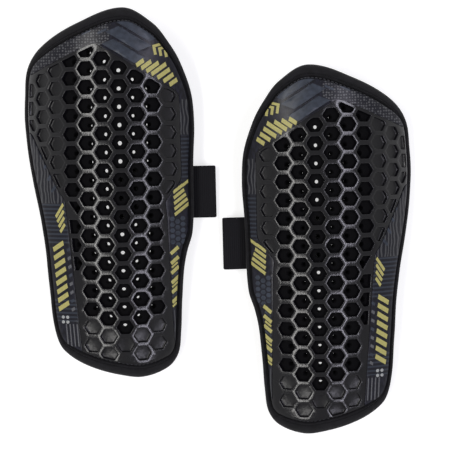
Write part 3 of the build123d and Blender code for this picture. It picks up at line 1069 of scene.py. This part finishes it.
def strap_marks(y):
    """Radii, angles and heights of the strap's path, as in the frame."""
    ends = (y - STRAP_WIDTH / 2, y + STRAP_WIDTH / 2)
    edge_x = max(inner_edge(e) for e in (*ends, y))
    half = STRAP_THICK / 2
    back = CROSS_RADIUS + LINING_BACK
    angle = asin(edge_x / (CROSS_RADIUS + RIM_TOP)) + CLEARANCE / 2 / back
    sag = LENGTH_RADIUS - sqrt(LENGTH_RADIUS**2 - max(abs(e) for e in ends) ** 2)
    ground = (REST_DROP - PROP) / cos(PITCH) + max(abs(e) for e in ends) * abs(tan(PITCH))
    low = ground + CLEARANCE / 2 + half
    return {
        "centre": -CROSS_RADIUS - sag, "bend": angle, "lining": back - half - CLEARANCE / 2,
        "low": low, "high": low + STRAP_THICK + CLEARANCE + HOOK_THICK,
        "fold": edge_x + STRAP_REACH - FOLD_RADIUS - half,
        "ramp": back * sin(angle) - 1.0,
    }


def arc(cx, cz, radius, start, sweep, steps):
    """Points on an arc in the strap's plane, by degrees."""
    angles = np.radians(np.linspace(start, start + sweep, steps))
    return np.stack([cx + radius * np.cos(angles), cz + radius * np.sin(angles)], axis=-1)


def strap_band(side, name, path):
    """A woven band that follows a path, with rounded selvedges."""
    path = np.asarray(path, float)
    gaps = np.linalg.norm(np.diff(path, axis=0), axis=1)
    path = path[np.concatenate([[True], gaps > 0.02])]
    marks = np.concatenate([[0], np.cumsum(np.linalg.norm(np.diff(path, axis=0), axis=1))])
    stops = np.linspace(0, marks[-1], max(8, int(marks[-1] / 0.6)))
    line = np.stack([np.interp(stops, marks, path[:, k]) for k in (0, 1)], axis=-1)
    way = np.gradient(line, axis=0)
    way /= np.linalg.norm(way, axis=1)[:, None]
    across = np.stack([-way[:, 1], way[:, 0]], axis=-1)
    half = STRAP_THICK / 2
    wide = STRAP_WIDTH / 2
    selvedge = [(-wide + 0.25, half * 0.75), (-wide, 0.0), (-wide + 0.25, -half * 0.75)]
    inner = np.linspace(-wide + 0.9, wide - 0.9, 20)
    section = [(a, half) for a in inner] + [(-a, b) for a, b in selvedge]
    section += [(a, -half) for a in inner[::-1]] + selvedge[::-1]
    points = []
    flat = []
    for spot, normal, mark in zip(line, across, stops):
        for a, b in section:
            position = spot + normal * b
            points.append((position[0], STRAP_CENTRE[side] + a, position[1]))
            flat.append((a, mark))
    count = len(section)
    faces = []
    for i in range(len(line) - 1):
        for k in range(count):
            n = (k + 1) % count
            faces.append([i * count + k, i * count + n, (i + 1) * count + n, (i + 1) * count + k])
    faces.append(list(range(count)))
    faces.append([(len(line) - 1) * count + k for k in range(count)][::-1])
    kinds = [0] * len(faces)
    item = finish_mesh(f"{side}_{name}", side, points, faces, kinds, flat, [MATERIALS["strap"]], 50)
    return item


def outer_fold_path(m):
    """From the lining round the rim's underside, out to the visible fold and back under."""
    bend = m["bend"]
    bx = (m["lining"] + STRAP_BEND) * sin(bend)
    bz = m["centre"] + (m["lining"] + STRAP_BEND) * cos(bend)
    fold_z = m["low"] + FOLD_RADIUS
    gap = hypot(m["fold"] - bx, fold_z - bz)
    lean = atan((fold_z - bz) / (m["fold"] - bx)) + asin((STRAP_BEND + FOLD_RADIUS) / gap)
    parts = [
        arc(0, m["centre"], m["lining"], 90 - STRAP_SEWN_ANGLE, STRAP_SEWN_ANGLE - degrees(bend), 24),
        arc(bx, bz, STRAP_BEND, 270 - degrees(bend), degrees(bend) + degrees(lean), 10),
        arc(m["fold"], fold_z, FOLD_RADIUS, 90 + degrees(lean), -180 - degrees(lean), 14),
        [(m["ramp"] + 1.5, m["low"])],
    ]
    return np.vstack(parts)


def strap_pieces(side):
    """The strap in three lengths, bent across its two folds."""
    m = strap_marks(STRAP_CENTRE[side])
    fold = strap_band(side, "strap_outer_fold", outer_fold_path(m))
    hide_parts(f"{side}_strap_sewn_end")
    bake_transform(fold)
    run_path = [(m["ramp"] + 1.5, m["low"])]
    for t in np.linspace(0, 1, 12):
        ease = t * t * (3 - 2 * t)
        run_path.append((m["ramp"] - RAMP_LENGTH * t, m["low"] + (m["high"] - m["low"]) * ease))
    run_path.append((STRAP_MIDDLE_INNER + 5.0, m["high"]))
    run = strap_band(side, "strap_inner_run", run_path)
    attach(run, f"{side}_strap")
    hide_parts(f"{side}_strap_middle")
    radius = (m["high"] - m["low"]) / 2
    end_path = np.vstack([
        [(STRAP_MIDDLE_INNER + 5.0, m["high"])],
        arc(STRAP_MIDDLE_INNER, m["low"] + radius, radius, 90, 180, 16),
        [(STRAP_MIDDLE_INNER + CLEARANCE + STRAP_END_LENGTH, m["low"])],
    ])
    tip = strap_band(side, "strap_free_end", end_path)
    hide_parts(f"{side}_strap_end")
    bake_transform(tip)


def dress_patch(node, material):
    """Give a CAD patch its finish."""
    item = frame["nodes"][node]
    item.data.materials.clear()
    item.data.materials.append(MATERIALS[material])


# Stage


def soft_lamp(name, lamp, power):
    """A rectangular soft light that faces the middle of the pair."""
    place, size, colour = lamp
    data = bpy.data.lights.new(name, "AREA")
    data.shape = "RECTANGLE"
    data.size, data.size_y = size
    data.energy = power
    data.color = colour
    item = bpy.data.objects.new(name, data)
    item.location = place
    item.rotation_euler = (-Vector(place)).to_track_quat("-Z", "Y").to_euler()
    bpy.context.scene.collection.objects.link(item)
    return item


def build_stage(sizes):
    """Floor, lights and the camera straight above the pair."""
    scene = bpy.context.scene
    deselect()
    bpy.ops.mesh.primitive_plane_add(size=6.0, location=(0, 0, 0))
    floor = bpy.context.object
    floor.name = "studio_floor"
    material, tree, surface = shader("studio_white", (0.55, 0.55, 0.55), 0.9, Specular_IOR_Level=0.0)
    path = add_node(tree, "LightPath")
    seen = combine(tree, path.outputs["Is Camera Ray"], path.outputs["Is Glossy Ray"], "MAXIMUM")
    seen = combine(tree, seen, path.outputs["Is Transmission Ray"], "MAXIMUM")
    glow = add_node(tree, "Math", {1: FLOOR_GLOW}, operation="MULTIPLY")
    tree.links.new(seen, glow.inputs[0])
    surface.inputs["Emission Color"].default_value = (1, 1, 1, 1)
    tree.links.new(glow.outputs[0], surface.inputs["Emission Strength"])
    floor.data.materials.append(material)
    key = soft_lamp("key_softbox", KEY_LAMP, sizes.key_power)
    side = soft_lamp("side_softbox", SIDE_LAMP, sizes.side_power)
    world = bpy.data.worlds.new("studio")
    scene.world = world
    world.use_nodes = True
    tree = world.node_tree
    back = tree.nodes["Background"]
    back.inputs[0].default_value = (1, 1, 1, 1)
    where = add_node(tree, "TexCoord")
    split = add_node(tree, "SeparateXYZ")
    fade = {"From Min": 0.0, "From Max": 0.75, "To Min": 1.0, "To Max": 0.3}
    tent = add_node(tree, "MapRange", fade)
    tree.links.new(where.outputs["Generated"], split.inputs[0])
    tree.links.new(split.outputs[2], tent.inputs["Value"])
    tree.links.new(tent.outputs["Result"], back.inputs[1])
    data = bpy.data.cameras.new("overhead")
    data.sensor_width = SENSOR_WIDTH
    data.lens = SENSOR_WIDTH * (sizes.camera_height - VIEW_LEVEL) / VIEW_WIDTH
    camera = bpy.data.objects.new("overhead", data)
    camera.location = (*VIEW_CENTRE, sizes.camera_height)
    scene.collection.objects.link(camera)
    scene.camera = camera
    scene.view_settings.view_transform = "Standard"


# Add-on


def colour_property(name, text, value):
    """A colour a user would change."""
    return FloatVectorProperty(name=name, description=text, default=value, subtype="COLOR", min=0, max=1)


class GuardColours(bpy.types.PropertyGroup):
    """Colours of the guards' finishes."""

    shell: colour_property("Shell", "Moulded plastic", (0.0042, 0.0040, 0.0054))
    film: colour_property("Film", "Ground of the printed panels", (0.0054, 0.0054, 0.0100))
    gold: colour_property("Gold", "Gold shapes", (0.36, 0.33, 0.113))
    slate: colour_property("Slate", "Grey-blue shapes", (0.028, 0.034, 0.048))
    grey: colour_property("Grey", "Mid-grey shapes", (0.09, 0.092, 0.10))
    mist: colour_property("Mist", "Light grey shapes", (0.32, 0.33, 0.33))
    foam: colour_property("Foam", "Foam and lining", (0.0022, 0.0021, 0.0028))
    rim: colour_property("Rim", "Rim's fabric", (0.0048, 0.0046, 0.0060))
    strap: colour_property("Strap", "Elastic and tapes", (0.0034, 0.0032, 0.0048))
    thread: colour_property("Thread", "Sewing thread", (0.065, 0.066, 0.078))


class StudioSizes(bpy.types.PropertyGroup):
    """Sizes of the studio."""

    camera_height: FloatProperty(
        name="Camera height", description="Camera above the floor", default=1.0, unit="LENGTH"
    )
    key_power: FloatProperty(name="Key light", description="Power of the key light, W", default=8.2)
    side_power: FloatProperty(name="Side light", description="Power of the side light, W", default=6.6)


class GUARD_OT_finishes(bpy.types.Operator):
    """Make every finish"""

    bl_idname = "guard.finishes"
    bl_label = "Finishes"

    def execute(self, context):
        make_materials(context.scene.guard_colours)
        return {"FINISHED"}


class GUARD_OT_shells(bpy.types.Operator):
    """Mould both honeycomb shells"""

    bl_idname = "guard.shells"
    bl_label = "Honeycomb shells"

    def execute(self, context):
        for side in SIDES:
            honeycomb_shell(side)
        return {"FINISHED"}


class GUARD_OT_panels(bpy.types.Operator):
    """Print the films on both shells"""

    bl_idname = "guard.panels"
    bl_label = "Printed panels"

    def execute(self, context):
        def on_outer(points):
            return (points[:, 0] < 0) & (points[:, 1] < 45)

        def on_knee(points):
            return ~on_outer(points)

        for side in SIDES:
            knee = print_panel(side, "knee_film", knee_artwork(), on_knee)
            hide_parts(f"{side}_knee_print_panel")
            outer = print_panel(side, "outer_film", outer_artwork(), on_outer)
            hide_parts(f"{side}_outer_print_panel")
        return {"FINISHED"}


class GUARD_OT_padding(bpy.types.Operator):
    """Cut the foam and the lining, with their perforations"""

    bl_idname = "guard.padding"
    bl_label = "Foam and lining"

    def execute(self, context):
        for side in SIDES:
            foam = perforated_layer(
                side, "foam_sheet", FOAM_BACK, 0.0, MATERIALS["foam"], 0.25, (1.42, 1.3), (0.0, 0.034)
            )
            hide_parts(f"{side}_foam_backing")
            lining = perforated_layer(
                side, "lining_sheet", LINING_BACK, FOAM_BACK, MATERIALS["lining"], 0.12,
                (1.3, 1.3), (0.034, 0.034),
            )
            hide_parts(f"{side}_lining")
            across, along, area = lining_cut(lining)
        return {"FINISHED"}


class GUARD_OT_rims(bpy.types.Operator):
    """Roll and stitch both rims"""

    bl_idname = "guard.rims"
    bl_label = "Padded rims"

    def execute(self, context):
        for side in SIDES:
            padded_rim(side)
            rim_stitches(side)
        return {"FINISHED"}


class GUARD_OT_straps(bpy.types.Operator):
    """Weave both straps and dress their patches"""

    bl_idname = "guard.straps"
    bl_label = "Elastic straps"

    def execute(self, context):
        for side in SIDES:
            strap_pieces(side)
            dress_patch(f"{side}_hook_patch", "hook")
            dress_patch(f"{side}_loop_patch", "loop")
        return {"FINISHED"}


class GUARD_OT_stage(bpy.types.Operator):
    """Set the floor, lights and camera"""

    bl_idname = "guard.stage"
    bl_label = "Stage"

    def execute(self, context):
        build_stage(context.scene.studio_sizes)
        return {"FINISHED"}


class GUARD_PT_panel(bpy.types.Panel):
    """Lists the guard's pieces"""

    bl_label = "Shin Guards"
    bl_idname = "GUARD_PT_panel"
    bl_space_type = "VIEW_3D"
    bl_region_type = "UI"
    bl_category = "Shin Guards"

    def draw(self, context):
        for name in context.scene.guard_colours.__annotations__:
            self.layout.prop(context.scene.guard_colours, name)
        for name in context.scene.studio_sizes.__annotations__:
            self.layout.prop(context.scene.studio_sizes, name)
        for operator in OPERATORS:
            self.layout.operator(operator.bl_idname)


OPERATORS = (
    GUARD_OT_finishes, GUARD_OT_shells, GUARD_OT_panels, GUARD_OT_padding, GUARD_OT_rims,
    GUARD_OT_straps, GUARD_OT_stage,
)
CLASSES = (GuardColours, StudioSizes, *OPERATORS, GUARD_PT_panel)


def register():
    """Register the add-on's classes and properties."""
    for item in CLASSES:
        bpy.utils.register_class(item)
    bpy.types.Scene.guard_colours = PointerProperty(type=GuardColours)
    bpy.types.Scene.studio_sizes = PointerProperty(type=StudioSizes)


def unregister():
    """Remove the add-on's classes and properties."""
    del bpy.types.Scene.studio_sizes
    del bpy.types.Scene.guard_colours
    for item in reversed(CLASSES):
        bpy.utils.unregister_class(item)


def main():
    """Build everything in order."""
    register()
    bpy.ops.guard.finishes()
    bpy.ops.guard.shells()
    bpy.ops.guard.panels()
    bpy.ops.guard.padding()
    bpy.ops.guard.rims()
    bpy.ops.guard.straps()
    bpy.ops.guard.stage()


if __name__ == "__main__":
    main()
